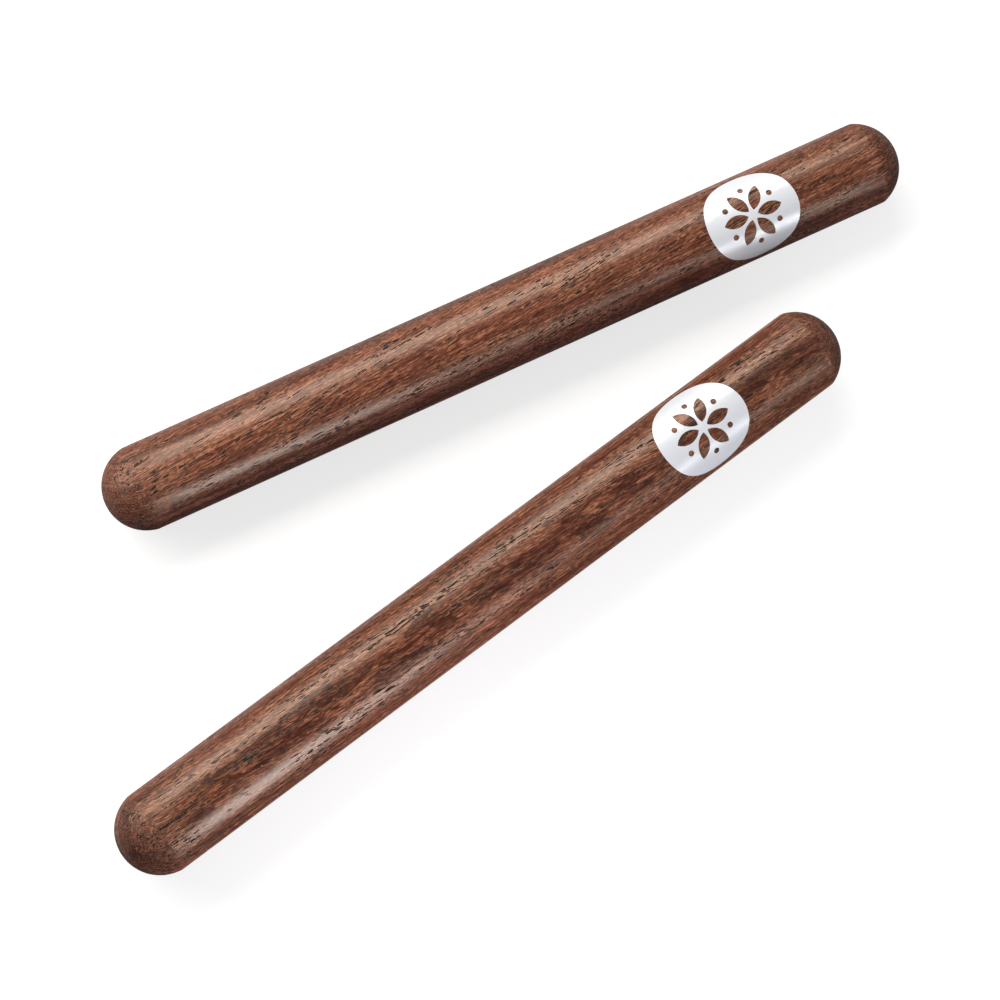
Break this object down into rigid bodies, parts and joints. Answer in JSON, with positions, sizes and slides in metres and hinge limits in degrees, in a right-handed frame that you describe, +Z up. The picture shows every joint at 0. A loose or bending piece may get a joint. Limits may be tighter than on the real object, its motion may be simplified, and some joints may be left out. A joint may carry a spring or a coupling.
{
  "type": "claves",
  "caption": "Claves: plain round hardwood sticks with domed ends, struck together as a percussion instrument, each with a round foil label wrapped on its barrel.",
  "frame": {"origin": "middle of the pair's bounding box, on the flat surface that both sticks lie on", "axes": "+Z up from that surface; +X along the held stick, from its plain butt end towards its labelled tip; the striker lies on the -Y side"},
  "size_m": [0.2338, 0.093, 0.0201],
  "materials": {
    "held_wood": "satin lacquer over reddish-brown rosewood-type hardwood",
    "striker_wood": "satin lacquer over reddish-brown rosewood-type hardwood with a wavy figure",
    "foil": "satin silver foil"
  },
  "bodies": {
    "held": {"held_stick": "held_wood", "held_label": "foil"},
    "striker": {"striker_stick": "striker_wood", "striker_label": "foil"}
  },
  "joints": [
    {"name": "striker_lift", "type": "slide", "parent": "held", "child": "striker", "axis": [0, 0, 1], "range_m": [0, 0.12]}
  ]
}
